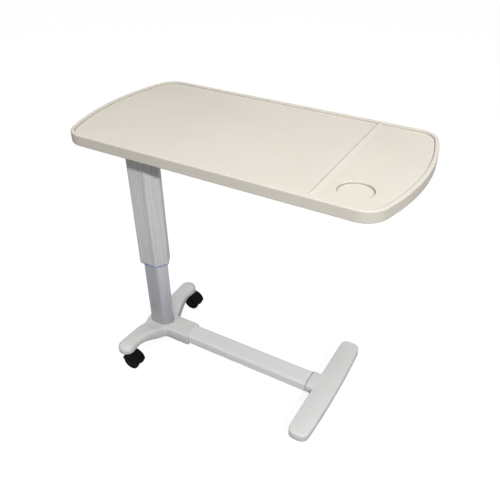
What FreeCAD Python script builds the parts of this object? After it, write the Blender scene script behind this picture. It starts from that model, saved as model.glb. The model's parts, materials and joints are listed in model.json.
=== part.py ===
"""Overbed table: a rimmed moulded top on a gas-sprung column over a low wheeled base.

Millimetres. +Z is up, the origin is on the floor below the middle of the top, +X runs along the top
from the column towards the foot bar, and +Y runs across it. Every sub-part is modelled around the
column axis and then placed at column_x, so most sizes read as distances from that axis.
"""
import FreeCAD, Part
import math
import os
import Sketcher
from FreeCAD import Vector

SIZES = [
    # tabletop
    ("top_length", 800), ("top_width", 400), ("top_height", 750), ("top_thickness", 26),
    ("top_bow", 40), ("top_corner_r", 52), ("top_centre_x", 324.5), ("top_edge_r", 4),
    ("rim_width", 8), ("rim_depth", 4), ("divider_x", 553), ("divider_width", 8),
    ("divider_rise", 2.5), ("cup_x", 622), ("cup_y", -126), ("cup_r", 34), ("cup_depth", 5),
    ("top_skin", 4), ("top_wall", 9), ("boss_r", 8), ("rib_width", 3), ("rib_pitch", 112),
    ("rib_start_x", 64),
    # column sections, as hexagons given by tip, flat and half length of the flat
    ("column_x", -324.5), ("sleeve_tip", 49), ("sleeve_flat", 34), ("sleeve_half", 28),
    ("sleeve_corner_r", 6), ("sleeve_wall", 3), ("sleeve_bottom", 290), ("sleeve_top", 705),
    ("tube_tip", 42), ("tube_flat", 26), ("tube_half", 22), ("tube_wall", 2.5), ("tube_corner_r", 6),
    ("tube_bottom", 52), ("tube_top", 672), ("slide_gap", 0.08), ("guide_height", 30),
    ("guide_lip", 2), ("wiper_height", 3), ("wiper_inset", 1), ("insert_height", 102),
    ("column_screw_z", 125), ("column_screw_x", -6), ("screw_r", 3), ("bolt_r", 4),
    # head of the lifting column and the frame under the top
    ("head_spigot", 20), ("head_length", 96), ("head_width", 72), ("head_height", 36),
    ("flange_t", 5), ("flange_length", 120), ("flange_width", 120), ("slot_width", 14),
    ("plate_t", 3), ("rail_start_x", -40), ("rail_length", 620), ("rail_width", 34), ("rail_y", 95),
    ("head_screw_x", 45), ("head_screw_y", 48), ("rail_screw_x", 560), ("screw_bite", 9),
    # gas spring and its release
    ("cylinder_r", 14), ("cylinder_bore", 12), ("cylinder_length", 410), ("cylinder_end_t", 10),
    ("stud_length", 10), ("rod_r", 5), ("piston_r", 11.5), ("piston_t", 10), ("rod_bottom", 205),
    ("nut_recess", 8), ("nut_r", 8.5), ("pin_r", 2.5), ("pin_length", 30), ("pin_proud", 3),
    ("run_gap", 0.05), ("pivot_y", -20), ("pivot_rise", 8), ("pivot_r", 3), ("lever_width", 11),
    ("lever_t", 6), ("lever_drop", 12), ("lever_end_y", -140), ("lever_bend_y", -70),
    ("grip_length", 50), ("grip_width", 26), ("grip_t", 12),
    # base
    ("leg_x", -13), ("leg_end_r", 25), ("leg_caster_y", 155), ("hub_low", 28), ("hub_high", 62),
    ("hub_half", 33), ("hub_x", 32), ("hub_back_x", -35), ("hub_bulge_r", 73), ("hub_back_y", 40),
    ("leg_low", 56), ("leg_high", 80), ("leg_low_y", 120), ("leg_waist_x", 8), ("leg_waist_y", 130),
    ("leg_waist_r", 420), ("leg_rise_r", 520), ("collar_end_x", 115), ("cover_wall", 1.8),
    ("bar_width", 30), ("bar_t", 12), ("bar_low", 32), ("bar_end_low", 58),
    ("bar_end_y", 172), ("base_plate_t", 8), ("beam_start_x", 50), ("beam_end_x", 526),
    ("beam_width", 56), ("beam_height", 30), ("beam_low", 30), ("beam_wall", 2),
    ("beam_corner_r", 6), ("tongue_width", 50), ("tongue_length", 75), ("bolt_pitch", 35),
    ("foot_x", 527), ("foot_end_x", 578), ("foot_bow_r", 1968), ("foot_half", 188), ("foot_low", 38),
    ("foot_high", 60), ("foot_corner_r", 23), ("foot_edge_r", 6), ("foot_collar_x", 503),
    ("foot_collar_half", 30), ("foot_bar_low", 40), ("foot_caster_x", 556), ("foot_caster_y", 130),
    ("foot_bar_half", 160), ("cover_screw_r", 2), ("leg_cover_screw_y", 138),
    ("foot_cover_screw_y", 90), ("cover_boss_r", 4.5),
    # casters: wheel radius, trail, stem radius, half web, wheel width, seat height
    ("leg_wheel", 25), ("leg_trail", 20), ("leg_stem", 5), ("leg_web", 6.5), ("leg_tread", 9.5),
    ("leg_seat", 54), ("foot_wheel", 16), ("foot_trail", 12), ("foot_stem", 4), ("foot_web", 6.5),
    ("foot_tread", 9), ("foot_seat", 37), ("wheel_gap", 1), ("hood_t", 1.6), ("axle_r", 3),
    ("tyre_t", 4),
]
RIB_BAYS = 5
BEAM_BOLTS = (0.6, 1.6)

doc = FreeCAD.newDocument("overbed_table")
sheet = doc.addObject("Spreadsheet::Sheet", "Sizes")
for row, (alias, value) in enumerate(SIZES, start=1):
    sheet.set("A%d" % row, alias)
    sheet.set("B%d" % row, str(value))
    sheet.setAlias("B%d" % row, alias)
doc.recompute()

NODES = []
ALIASES = {alias for alias, _ in SIZES}
ALONG = {"z": FreeCAD.Rotation(), "x": FreeCAD.Rotation(Vector(0, 1, 0), 90),
         "y": FreeCAD.Rotation(Vector(1, 0, 0), -90), "-y": FreeCAD.Rotation(Vector(1, 0, 0), 90)}


def size(formula):
    """The present value of a formula over the sheet's cells."""
    value = sheet.evalExpression(formula)
    return float(getattr(value, "Value", value))


def cell(text):
    """Turns bare size names into references to the sheet, so formulas stay short."""
    words = []
    word = ""
    for letter in text + " ":
        if letter.isalnum() or letter == "_":
            word += letter
            continue
        words.append("Sizes." + word if word in ALIASES else word)
        words.append(letter)
        word = ""
    return "".join(words).strip()


def bind(thing, **formulas):
    """Binds properties to formulas over the sheet; Base_z stands for Placement.Base.z."""
    for name, formula in formulas.items():
        path = "Placement.Base." + name[-1] if name.startswith("Base_") else name
        thing.setExpression(path, cell(formula))


def node(thing, label, x="0", y="0", z="0", turn=0):
    """Names a finished sub-part and places it relative to the column axis."""
    thing.Label = label
    thing.Placement.Rotation = FreeCAD.Rotation(Vector(0, 0, 1), turn)
    bind(thing, Base_x="column_x + " + x, Base_y=y, Base_z=z)
    NODES.append(thing)
    return thing


def new_body(label):
    return doc.addObject("PartDesign::Body", "Body_" + label)


def sketch_on(body, role, offset="0"):
    """An empty sketch on one of the body's origin planes, moved along the plane's normal."""
    sketch = body.newObject("Sketcher::SketchObject", "Sketch")
    plane = next(item for item in body.Origin.OriginFeatures if item.Role == role)
    sketch.AttachmentSupport = (plane, [""])
    sketch.MapMode = "FlatFace"
    sketch.setExpression("AttachmentOffset.Base.z", cell(offset))
    return sketch


def add_loop(sketch, corners):
    """Adds a closed loop. A corner is (x, y) or (x, y, radius): a radius makes the side that leaves the
    corner an arc, bulging to the right of travel, or to the left when the radius starts with '-'."""
    first = sketch.GeometryCount
    spots = [Vector(size(cell(c[0])), size(cell(c[1])), 0) for c in corners]
    for index, corner in enumerate(corners):
        here = spots[index]
        there = spots[(index + 1) % len(spots)]
        if len(corner) == 2:
            sketch.addGeometry(Part.LineSegment(here, there), False)
            continue
        radius = abs(size(cell(corner[2])))
        side = -1 if corner[2].startswith("-") else 1
        chord = there - here
        sagitta = radius - math.sqrt(max(radius ** 2 - (chord.Length / 2) ** 2, 0))
        outward = Vector(chord.y, -chord.x, 0).normalize() * side * sagitta
        sketch.addGeometry(Part.Arc(here, (here + there) / 2 + outward, there), False)
    for index, corner in enumerate(corners):
        here = first + index
        there = first + (index + 1) % len(corners)
        start, end = arc_ends(sketch, here, spots[index])
        next_start = arc_ends(sketch, there, spots[(index + 1) % len(corners)])[0]
        sketch.addConstraint(Sketcher.Constraint("Coincident", here, end, there, next_start))
        for kind, formula, value in (("DistanceX", corner[0], spots[index].x),
                                     ("DistanceY", corner[1], spots[index].y)):
            number = sketch.addConstraint(Sketcher.Constraint(kind, -1, 1, here, start, value))
            sketch.setExpression("Constraints[%d]" % number, cell(formula))
        if len(corner) == 3:
            number = sketch.addConstraint(
                Sketcher.Constraint("Radius", here, abs(size(cell(corner[2])))))
            sketch.setExpression("Constraints[%d]" % number, cell(corner[2].lstrip("-")))


def arc_ends(sketch, index, start_spot):
    """Which end of a side (1 or 2) sits at its starting corner, and which is the other."""
    gaps = [sketch.getPoint(index, end).distanceToPoint(start_spot) for end in (1, 2)]
    return (1, 2) if gaps[0] < gaps[1] else (2, 1)


def add_circle(sketch, x, y, radius):
    centre = Vector(size(cell(x)), size(cell(y)), 0)
    circle = sketch.addGeometry(Part.Circle(centre, Vector(0, 0, 1), size(cell(radius))), False)
    for kind, formula, value in (("DistanceX", x, centre.x), ("DistanceY", y, centre.y)):
        number = sketch.addConstraint(Sketcher.Constraint(kind, -1, 1, circle, 3, value))
        sketch.setExpression("Constraints[%d]" % number, cell(formula))
    number = sketch.addConstraint(Sketcher.Constraint("Radius", circle, size(cell(radius))))
    sketch.setExpression("Constraints[%d]" % number, cell(radius))


def box_loop(x_low, x_high, y_low, y_high):
    return [(x_low, y_low), (x_high, y_low), (x_high, y_high), (x_low, y_high)]


def hexagon(tip, flat, half, inset="0"):
    """Corners of the column's six-sided section, offset inwards by inset."""
    slant = "sqrt((%s - %s)^2 + %s^2)" % (tip, half, flat)
    tip_in = "(%s - (%s) * %s / %s)" % (tip, inset, slant, flat)
    flat_in = "(%s - (%s))" % (flat, inset)
    half_in = "(%s - (%s) * (%s - (%s - %s)) / %s)" % (half, inset, slant, tip, half, flat)
    return [(tip_in, "0"), (half_in, flat_in), ("-" + half_in, flat_in), ("-" + tip_in, "0"),
            ("-" + half_in, "-" + flat_in), (half_in, "-" + flat_in)]


def feature(body, kind, sketch, length, midplane=False, reverse=False):
    """A Pad or a Pocket of a sketch. A Pocket has to remove something, or the model stops here."""
    before = body.Shape.Volume if body.Shape and not body.Shape.isNull() else 0
    item = body.newObject("PartDesign::" + kind, kind)
    item.Profile = sketch
    item.Midplane = midplane
    item.Reversed = reverse
    bind(item, Length=length)
    doc.recompute()
    if kind == "Pocket" and item.Shape.Volume > before - 1e-3:
        raise RuntimeError("a pocket in %s cut nothing" % body.Name)
    return item


def pad(body, role, loops, offset, length, midplane=False, reverse=False):
    sketch = sketch_on(body, role, offset)
    for loop in loops:
        add_loop(sketch, loop)
    return feature(body, "Pad", sketch, length, midplane, reverse)


def pocket(body, role, loops, offset, length, midplane=False, reverse=False):
    sketch = sketch_on(body, role, offset)
    for loop in loops:
        add_loop(sketch, loop)
    return feature(body, "Pocket", sketch, length, midplane, reverse)


def round_feature(body, kind, circles, offset, length, role="XY_Plane", midplane=False, reverse=False):
    """A Pad or Pocket of one or more circles, each (x, y, radius)."""
    sketch = sketch_on(body, role, offset)
    for circle in circles:
        add_circle(sketch, *circle)
    return feature(body, kind, sketch, length, midplane, reverse)


def fillet(body, radius, chosen):
    """Rounds the edges of the body's last feature that pass a test."""
    base = body.Tip
    names = ["Edge%d" % (i + 1) for i, edge in enumerate(base.Shape.Edges) if chosen(edge)]
    if not names:
        raise RuntimeError("no edges to round on %s" % body.Name)
    item = body.newObject("PartDesign::Fillet", "Fillet")
    item.Base = (base, names)
    bind(item, Radius=radius)
    doc.recompute()
    return item


def upright(edge):
    box = edge.BoundBox
    return box.XLength < 1e-4 and box.YLength < 1e-4


def at_height(level):
    return lambda edge: abs(edge.BoundBox.ZMin - level) < 1e-4 and edge.BoundBox.ZLength < 1e-4


def cylinder(radius, height, x="0", y="0", z="0", along="z", sides=0):
    """A round bar, or a regular prism with the given number of sides, standing on its start point."""
    thing = doc.addObject("Part::Prism" if sides else "Part::Cylinder", "Bar")
    if sides:
        thing.Polygon = sides
    bind(thing, **{"Circumradius" if sides else "Radius": radius, "Height": height})
    thing.Placement.Rotation = ALONG[along]
    bind(thing, Base_x=x, Base_y=y, Base_z=z)
    return thing


def cut(base, tool):
    thing = doc.addObject("Part::Cut", "Cut")
    thing.Base = base
    thing.Tool = tool
    return thing


def fuse(*parts):
    thing = doc.addObject("Part::MultiFuse", "Fuse")
    thing.Shapes = list(parts)
    return thing


def group(label, things, **where):
    """Several separate solids kept as one node."""
    thing = doc.addObject("Part::Compound", "Group_" + label)
    thing.Links = things
    return node(thing, label, **where)


def screw(x, y, seat, radius, length):
    """A socket-head screw driven upwards: its head bears on a surface at height seat."""
    head_low = "%s - %s" % (seat, radius)
    head = cylinder(radius + " * 1.7", radius, x, y, head_low)
    blank = fuse(cylinder(radius, length, x, y, seat), head)
    return cut(blank, cylinder(radius + " * 0.8", radius + " / 2", x, y, head_low, sides=6))


# ---- tabletop and what carries it --------------------------------------------------------------

def top_outline(inset):
    """The bow-ended outline of the top, anticlockwise from the near left corner."""
    long_half = "(top_length / 2 - top_bow - (%s))" % inset
    half = "(top_width / 2 - (%s))" % inset
    bow_r = "(%s^2 + top_bow^2) / (2 * top_bow)" % half
    left, right = "top_centre_x - " + long_half, "top_centre_x + " + long_half
    return [(left, "-" + half), (right, "-" + half, bow_r), (right, half), (left, half, bow_r)]


def table_screw_spots():
    """Screw places at the four ends of the two rails."""
    return [(x, side + "rail_y") for x in ("0", "rail_screw_x") for side in ("-", "")]


def head_screw_spots():
    """Screw places at the corners of the head's flange."""
    return [(a + "head_screw_x", b + "head_screw_y") for a in ("-", "") for b in ("-", "")]


def build_tabletop():
    """Moulded top: raised rim, low divider, cup recess, and a hollow underside with screw bosses."""
    body = new_body("tabletop")
    pad(body, "XY_Plane", [top_outline("0")], "0", "top_thickness")
    floor = "(top_thickness - rim_depth)"
    pocket(body, "XY_Plane", [top_outline("rim_width")], floor, "rim_depth + 1", reverse=True)
    fillet(body, "top_corner_r - rim_width", lambda e: upright(e) and e.BoundBox.ZMin > 1)
    fillet(body, "top_corner_r", lambda e: upright(e) and e.BoundBox.ZMin < 1)
    rim_face = max(body.Tip.Shape.Faces, key=lambda face: face.CenterOfMass.z)
    outer = rim_face.OuterWire.Edges
    fillet(body, "top_edge_r", lambda e: at_height(0)(e) or any(e.isSame(o) for o in outer))
    half = "(top_width / 2 - rim_width / 2)"
    ridge = box_loop("divider_x - divider_width / 2", "divider_x + divider_width / 2", "-" + half, half)
    pad(body, "XY_Plane", [ridge], floor + " - 1", "divider_rise + 1")
    round_feature(body, "Pocket", [("cup_x", "cup_y", "cup_r")], floor + " - cup_depth", "cup_depth + 1",
                  reverse=True)
    far = "(top_width / 2 - top_wall - top_edge_r)"
    bays = []
    for low, high in (("-" + far, "-rib_width / 2"), ("rib_width / 2", far)):
        for step in range(RIB_BAYS):
            start = "rib_start_x + rib_pitch * %d + rib_width / 2" % step
            stop = "rib_start_x + rib_pitch * %d - rib_width / 2" % (step + 1)
            bays.append(box_loop(start, stop, low, high))
    hollow = floor + " - top_skin - cup_depth"
    pocket(body, "XY_Plane", bays, "0", hollow, reverse=True)
    spots = [(x, y) for x, y in table_screw_spots() if x != "0"]
    round_feature(body, "Pad", [(x, y, "boss_r") for x, y in spots], "0", hollow)
    holes = [(x, y, "screw_r") for x, y in table_screw_spots() + head_screw_spots()]
    round_feature(body, "Pocket", holes, "0", "screw_bite", reverse=True)
    return node(body, "tabletop", z="top_height - top_thickness")


def build_support_frame():
    """A flat steel frame of a centre plate and two rails, screwed up into the top's underside."""
    top_low = "top_height - top_thickness"
    body = new_body("support_frame")
    plate = box_loop("-flange_length / 2", "flange_length / 2", "-rail_y", "rail_y")
    pad(body, "XY_Plane", [plate], "0", "plate_t")
    for side in ("", "-"):
        rail = box_loop("rail_start_x", "rail_start_x + rail_length",
                        side + "rail_y - rail_width / 2", side + "rail_y + rail_width / 2")
        pad(body, "XY_Plane", [rail], "0", "plate_t")
    spots = table_screw_spots() + head_screw_spots()
    round_feature(body, "Pocket", [(x, y, "screw_r") for x, y in spots], "0", "plate_t", reverse=True)
    node(body, "support_frame", z=top_low + " - plate_t")
    group("table_screws", [screw(x, y, top_low + " - plate_t", "screw_r", "plate_t + screw_bite - 1")
                           for x, y in table_screw_spots()])
    group("head_screws", [screw(x, y, top_low + " - plate_t - flange_t", "screw_r",
                                "plate_t + flange_t + screw_bite - 1") for x, y in head_screw_spots()])


def build_head():
    """Cast head: plugs the sleeve's top, holds the rod end and the lever, and carries the frame."""
    body = new_body("column_head")
    pad(body, "XY_Plane", [sleeve_hexagon("sleeve_wall + slide_gap")], "0", "head_spigot")
    block = box_loop("-head_length / 2", "head_length / 2", "-head_width / 2", "head_width / 2")
    pad(body, "XY_Plane", [block], "head_spigot", "head_height - head_spigot")
    flange = box_loop("-flange_length / 2", "flange_length / 2", "-flange_width / 2", "flange_width / 2")
    pad(body, "XY_Plane", [flange], "head_height - flange_t", "flange_t")
    slot = box_loop("-slot_width / 2", "slot_width / 2", "-flange_width / 2 - 1", "slot_width / 2")
    pocket(body, "XY_Plane", [slot], "head_spigot", "head_height - head_spigot + 1", reverse=True)
    round_feature(body, "Pocket", [("0", "0", "rod_r")], "0", "head_spigot + 1", reverse=True)
    round_feature(body, "Pocket", [("0", "0", "nut_r + 1")], "0", "nut_recess", reverse=True)
    holes = [(x, y, "screw_r") for x, y in head_screw_spots()]
    round_feature(body, "Pocket", holes, "head_height - flange_t - 1", "flange_t + 2", reverse=True)
    round_feature(body, "Pocket", [("pivot_y", "head_spigot + pivot_rise", "pivot_r")], "0",
                  "head_length + 2", role="YZ_Plane", midplane=True)
    node(body, "column_head", z="sleeve_top - head_spigot")
    pivot = cylinder("pivot_r", "head_length", along="x")
    node(pivot, "lever_pivot", x="-head_length / 2", y="pivot_y", z="sleeve_top + pivot_rise")
    pivot.Placement.Rotation = ALONG["x"]


# ---- column ------------------------------------------------------------------------------------

def sleeve_hexagon(inset):
    return hexagon("sleeve_tip", "sleeve_flat", "sleeve_half", inset)


def tube_hexagon(inset):
    return hexagon("tube_tip", "tube_flat", "tube_half", inset)


def on_section(tip, flat):
    """A test for upright edges on a section's outer surface."""
    tip, flat = size(cell(tip)), size(cell(flat))

    def test(edge):
        spot = edge.BoundBox.Center
        return upright(edge) and (abs(abs(spot.x) - tip) < 0.1 or abs(abs(spot.y) - flat) < 0.1)
    return test


def ring(label, outer, inner, z, height, lip=None):
    """A ring between two outlines of the column's section, with an inward lip on top if asked."""
    body = new_body(label)
    pad(body, "XY_Plane", [outer, inner], "0", height)
    if lip:
        pad(body, "XY_Plane", [outer, lip], height, "guide_lip")
    return node(body, label, z=z)


def build_column():
    """Outer sleeve, inner column, the guides and wiper between them, and the insert at the foot."""
    sleeve = new_body("outer_sleeve")
    pad(sleeve, "XY_Plane", [sleeve_hexagon("0"), sleeve_hexagon("sleeve_wall")], "0",
        "sleeve_top - sleeve_bottom")
    fillet(sleeve, "sleeve_corner_r", on_section("sleeve_tip", "sleeve_flat"))
    node(sleeve, "outer_sleeve", z="sleeve_bottom")
    tube = new_body("inner_column")
    pad(tube, "XY_Plane", [tube_hexagon("0"), tube_hexagon("tube_wall")], "0", "tube_top - tube_bottom")
    fillet(tube, "tube_corner_r", on_section("tube_tip", "tube_flat"))
    side_hole = [("column_screw_x", "column_screw_z - tube_bottom", "screw_r")]
    round_feature(tube, "Pocket", side_hole, "0", "tube_flat * 2 + 2", role="XZ_Plane", midplane=True)
    node(tube, "inner_column", z="tube_bottom")
    bush_outline = sleeve_hexagon("sleeve_wall + slide_gap")
    ring("lower_guide_bush", bush_outline, tube_hexagon("-slide_gap"), "sleeve_bottom + guide_lip",
         "guide_height")
    ring("wiper_seal", sleeve_hexagon("wiper_inset"), tube_hexagon("-slide_gap"),
         "sleeve_bottom - wiper_height", "wiper_height")
    ring("upper_guide_bush", bush_outline, tube_hexagon("-0.02"), "tube_top - guide_height",
         "guide_height", lip=tube_hexagon("tube_wall"))
    insert = new_body("column_insert")
    pad(insert, "XY_Plane", [tube_hexagon("tube_wall + slide_gap")], "0", "insert_height")
    round_feature(insert, "Pocket", side_hole, "0", "tube_flat * 2 + 2", role="XZ_Plane", midplane=True)
    round_feature(insert, "Pocket", [("0", "0", "rod_r")], "insert_height - stud_length",
                  "stud_length + 1", reverse=True)
    round_feature(insert, "Pocket", [("leg_x", side + "bar_t", "bolt_r") for side in ("-", "")], "0",
                  "insert_height / 4", reverse=True)
    node(insert, "column_insert", z="tube_bottom")
    screws = []
    for side, along in (("-", "y"), ("", "-y")):
        head_y = side + "(tube_flat + screw_r)"
        spot = ("column_screw_x", head_y, "column_screw_z", along)
        head = cylinder("screw_r * 1.7", "screw_r", *spot)
        shank = cylinder("screw_r", "tube_flat - screw_r", *spot)
        socket = cylinder("screw_r * 0.8", "screw_r / 2", *spot, sides=6)
        screws.append(cut(fuse(shank, head), socket))
    group("column_screws", screws)


def build_gas_spring():
    """Locking gas spring: cylinder on the insert, rod up to the head, release pin and nut."""
    bottom = "tube_bottom + insert_height"
    outer = fuse(cylinder("cylinder_r", "cylinder_length"),
                 cylinder("rod_r", "stud_length", z="-stud_length"))
    chamber = cylinder("cylinder_bore", "cylinder_length - cylinder_end_t * 1.5", z="cylinder_end_t / 2")
    cap_low = "cylinder_length - cylinder_end_t"
    rod_hole = cylinder("rod_r + run_gap", "cylinder_end_t + 2", z=cap_low + " - 1")
    node(cut(outer, fuse(chamber, rod_hole)), "gas_spring_cylinder", z=bottom)
    rod = fuse(cylinder("rod_r", "sleeve_top - rod_bottom"), cylinder("piston_r", "piston_t"))
    pin_hole = cylinder("pin_r + run_gap", "pin_length + 4", z="sleeve_top - rod_bottom - pin_length")
    node(cut(rod, pin_hole), "gas_spring_rod", z="rod_bottom")
    node(cylinder("pin_r", "pin_length"), "release_pin", z="sleeve_top + pin_proud - pin_length")
    nut = cut(cylinder("nut_r", "nut_recess - 2", sides=6), cylinder("rod_r", "nut_recess"))
    node(nut, "rod_nut", z="sleeve_top - head_spigot + 1")


def build_lever():
    """Release lever: a flat bar on its pivot, its round nose over the pin, its arm to the near edge."""
    body = new_body("release_lever")
    mid = "pivot_rise"
    arm_top, arm_low = mid + " + lever_t / 2 - lever_drop", mid + " - lever_t / 2 - lever_drop"
    arm = [("0", mid + " - lever_t / 2"), ("0", mid + " + lever_t / 2"),
           ("pivot_y * 2", mid + " + lever_t / 2"), ("lever_bend_y", arm_top), ("lever_end_y", arm_top),
           ("lever_end_y", arm_low), ("lever_bend_y", arm_low), ("pivot_y * 2", mid + " - lever_t / 2")]
    pad(body, "YZ_Plane", [arm], "0", "lever_width", midplane=True)
    nose_r = "(pivot_rise - pin_proud - run_gap)"
    round_feature(body, "Pad", [("0", mid, nose_r)], "0", "lever_width", role="YZ_Plane", midplane=True)
    round_feature(body, "Pocket", [("pivot_y", mid, "pivot_r + run_gap")], "0", "lever_width + 2",
                  role="YZ_Plane", midplane=True)
    node(body, "release_lever", z="sleeve_top")
    grip = new_body("lever_grip")
    centre_z = mid + " - lever_drop"
    shell = box_loop("lever_end_y - 3", "lever_end_y + grip_length", centre_z + " - grip_t / 2",
                     centre_z + " + grip_t / 2")
    pad(grip, "YZ_Plane", [shell], "0", "grip_width", midplane=True)
    fillet(grip, "grip_t / 4", lambda e: e.BoundBox.XLength > 1)
    bar = box_loop("lever_end_y", "lever_end_y + grip_length + 1", arm_low, arm_top)
    pocket(grip, "YZ_Plane", [bar], "0", "lever_width", midplane=True)
    node(grip, "lever_grip", z="sleeve_top")


# ---- base --------------------------------------------------------------------------------------

def leg_solid(label, inset, over):
    """The hub, legs and collar as one solid, its sides moved in by inset and its bottom down by over."""
    body = new_body(label)
    half = "(hub_half - %s)" % inset
    edge_x = "(hub_x - %s)" % inset
    waist = "(leg_waist_x - %s)" % inset
    back = "(leg_x - leg_end_r + %s)" % inset
    front = "(leg_x + leg_end_r - %s)" % inset
    end_y = "(leg_caster_y + leg_end_r - %s)" % inset
    hub_back = "(hub_back_x + %s)" % inset
    end_r = "(leg_end_r - %s)" % inset
    outline = [("collar_end_x + " + over, "-" + half), ("collar_end_x + " + over, half),
               (edge_x, half, "-leg_waist_r"), (waist, "leg_waist_y"), (front, "leg_caster_y", end_r),
               ("leg_x", end_y, end_r), (back, "leg_caster_y"), (hub_back, "hub_back_y", "hub_bulge_r"),
               (hub_back, "-hub_back_y"), (back, "-leg_caster_y", end_r), ("leg_x", "-" + end_y, end_r),
               (front, "-leg_caster_y"), (waist, "-leg_waist_y", "-leg_waist_r"), (edge_x, "-" + half)]
    pad(body, "XY_Plane", [outline], "hub_low - " + over, "leg_high - hub_low - %s + %s" % (inset, over))
    far = "(leg_caster_y + leg_end_r * 2)"
    hub_top, leg_top = "(hub_high - %s)" % inset, "(leg_high - %s)" % inset
    above = [("-leg_caster_y", leg_top, "-leg_rise_r"), ("-hub_half", hub_top),
             ("hub_half", hub_top, "-leg_rise_r"), ("leg_caster_y", leg_top),
             ("leg_caster_y", "leg_high + 1"), ("-leg_caster_y", "leg_high + 1")]
    pocket(body, "YZ_Plane", [above], "0", "collar_end_x * 3", midplane=True)
    if inset == "0":
        for side in ("", "-"):
            below = [(side + "leg_low_y", "leg_low"), (side + "hub_back_y", "hub_low"),
                     (side + "hub_back_y", "hub_low - 1"), (side + far, "hub_low - 1"),
                     (side + far, "leg_low")]
            pocket(body, "YZ_Plane", [below], "0", "collar_end_x * 3", midplane=True)
    return body


def build_leg():
    """Welded leg frame under the column, and the moulded cover over the hub and both legs."""
    frame = new_body("leg_frame")
    low, high, end_low = "bar_low", "bar_low + bar_t", "bar_end_low"
    end_high = "bar_end_low + bar_t"
    profile = [("-bar_end_y", end_low), ("-leg_low_y", end_low), ("-hub_back_y", low),
               ("hub_back_y", low), ("leg_low_y", end_low), ("bar_end_y", end_low),
               ("bar_end_y", end_high), ("leg_low_y", end_high), ("hub_back_y", high),
               ("-hub_back_y", high), ("-leg_low_y", end_high), ("-bar_end_y", end_high)]
    pad(frame, "YZ_Plane", [profile], "leg_x", "bar_width", midplane=True)
    tongue = box_loop("leg_x", "beam_start_x + tongue_length", "-tongue_width / 2", "tongue_width / 2")
    pad(frame, "XY_Plane", [tongue], low, "bar_t")
    pad(frame, "XY_Plane", [tube_hexagon("-1")], high, "base_plate_t")
    stems = [("leg_x", side + "leg_caster_y", "leg_stem") for side in ("-", "")]
    bolts = [("leg_x", side + "bar_t", "bolt_r") for side in ("-", "")]
    bolts += [("beam_start_x + bolt_pitch * %s" % step, "0", "bolt_r") for step in BEAM_BOLTS]
    round_feature(frame, "Pocket", stems + bolts, "0", "leg_high", reverse=True)
    cover_screws = [("leg_x", side + "leg_cover_screw_y", "cover_screw_r") for side in ("-", "")]
    round_feature(frame, "Pocket", cover_screws, "0", "leg_high", reverse=True)
    node(frame, "leg_frame")
    shell = leg_solid("leg_cover", "0", "0")
    cavity = leg_solid("leg_cavity", "cover_wall", "1")
    column_hole = new_body("column_hole")
    pad(column_hole, "XY_Plane", [tube_hexagon("-0.2")], "hub_low", "leg_high")
    bosses = []
    for x, y, radius in cover_screws:
        post = cylinder("cover_boss_r", "leg_high - cover_wall / 2 - (%s)" % end_high, x, y, end_high)
        bosses.append(cut(post, cylinder(radius, "cover_boss_r", x, y, end_high)))
    cover = fuse(cut(cut(shell, cavity), column_hole), *bosses)
    node(cover, "leg_cover")
    group("insert_bolts", [screw("leg_x", side + "bar_t", low, "bolt_r", "bar_t + base_plate_t * 2.5")
                           for side in ("-", "")])


def build_beam():
    """Rectangular beam tube and the bolts that fix it to the leg frame and the foot frame."""
    beam = new_body("beam_tube")
    half, top = "beam_width / 2", "beam_low + beam_height"
    pad(beam, "YZ_Plane", [box_loop("-" + half, half, "beam_low", top)], "beam_start_x",
        "beam_end_x - beam_start_x")
    fillet(beam, "beam_corner_r", lambda e: e.BoundBox.XLength > 1)
    inner = box_loop("-(%s - beam_wall)" % half, half + " - beam_wall", "beam_low + beam_wall",
                     top + " - beam_wall")
    pocket(beam, "YZ_Plane", [inner], "beam_start_x", "beam_end_x - beam_start_x", reverse=True)
    leg_bolts = ["beam_start_x + bolt_pitch * %s" % step for step in BEAM_BOLTS]
    foot_bolts = ["beam_end_x - bolt_pitch * %s" % step for step in BEAM_BOLTS]
    round_feature(beam, "Pocket", [(x, "0", "bolt_r") for x in leg_bolts + foot_bolts],
                  "beam_low", "beam_wall", reverse=True)
    node(beam, "beam_tube")
    for label, spots in (("leg_beam_bolts", leg_bolts), ("foot_beam_bolts", foot_bolts)):
        group(label, [screw(x, "0", "beam_low", "bolt_r", "beam_wall + bar_t") for x in spots])


def foot_solid(label, inset, over):
    """The foot and its collar as one solid, its sides moved in by inset and its bottom down by over."""
    body = new_body(label)
    half = "(foot_half - %s)" % inset
    near, far = "foot_x + " + inset, "foot_end_x - " + inset
    outline = [(near, "-" + half), (far, "-" + half, "foot_bow_r"), (far, half), (near, half)]
    low = "foot_low - " + over
    pad(body, "XY_Plane", [outline], low, "foot_high - foot_low - %s + %s" % (inset, over))
    fillet(body, "foot_corner_r - " + inset, upright)
    fillet(body, "foot_edge_r - " + inset, at_height(size(cell("foot_high - " + inset))))
    collar_half = "(foot_collar_half - %s)" % inset
    collar = box_loop("foot_collar_x - " + over, "foot_x + 2", "-" + collar_half, collar_half)
    pad(body, "XY_Plane", [collar], low, "hub_high - foot_low - %s + %s" % (inset, over))
    return body


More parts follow.
